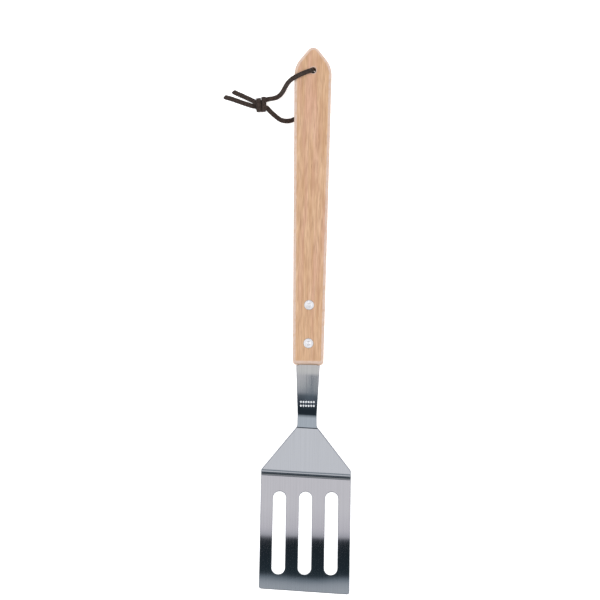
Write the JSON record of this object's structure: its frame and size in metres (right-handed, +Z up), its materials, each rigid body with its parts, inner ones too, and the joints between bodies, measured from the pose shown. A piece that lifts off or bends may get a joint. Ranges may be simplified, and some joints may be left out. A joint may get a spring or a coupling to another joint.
{
  "type": "grill spatula",
  "caption": "Grill spatula: a folded steel blade with long slots, riveted into a pointed oak handle, with a knotted suede hanging lace.",
  "frame": {"origin": "centre of the tool's box on the surface it lies on, without the lanyard", "axes": "+Y along the tool from the blade's front edge to the pointed end of the handle, +Z up, +X across the blade to the right; the tool lies in its rest pose on its heel fold and the end of its handle"},
  "size_m": [0.1099, 0.4442, 0.0434],
  "materials": {
    "blade_steel": "polished, with fine lengthwise streaks",
    "rivet_steel": "satin, with a bright dimple",
    "oak": "bare light oak, sanded",
    "suede": "dark brown suede, napped"
  },
  "bodies": {
    "tool": {"blade": "blade_steel", "handle": "oak", "front_rivet_post": "rivet_steel", "front_rivet_cap": "rivet_steel", "rear_rivet_post": "rivet_steel", "rear_rivet_cap": "rivet_steel"},
    "lanyard": {"lanyard_loop": "suede", "lanyard_knot": "suede", "lanyard_tail_a": "suede", "lanyard_tail_b": "suede"}
  },
  "joints": [
    {"name": "lanyard_swing", "type": "hinge", "parent": "tool", "child": "lanyard", "pos_m": [0, 0.20241, 0.01064], "axis": [0, 0.1006, 0.9949], "range_deg": [-235, 10]}
  ]
}
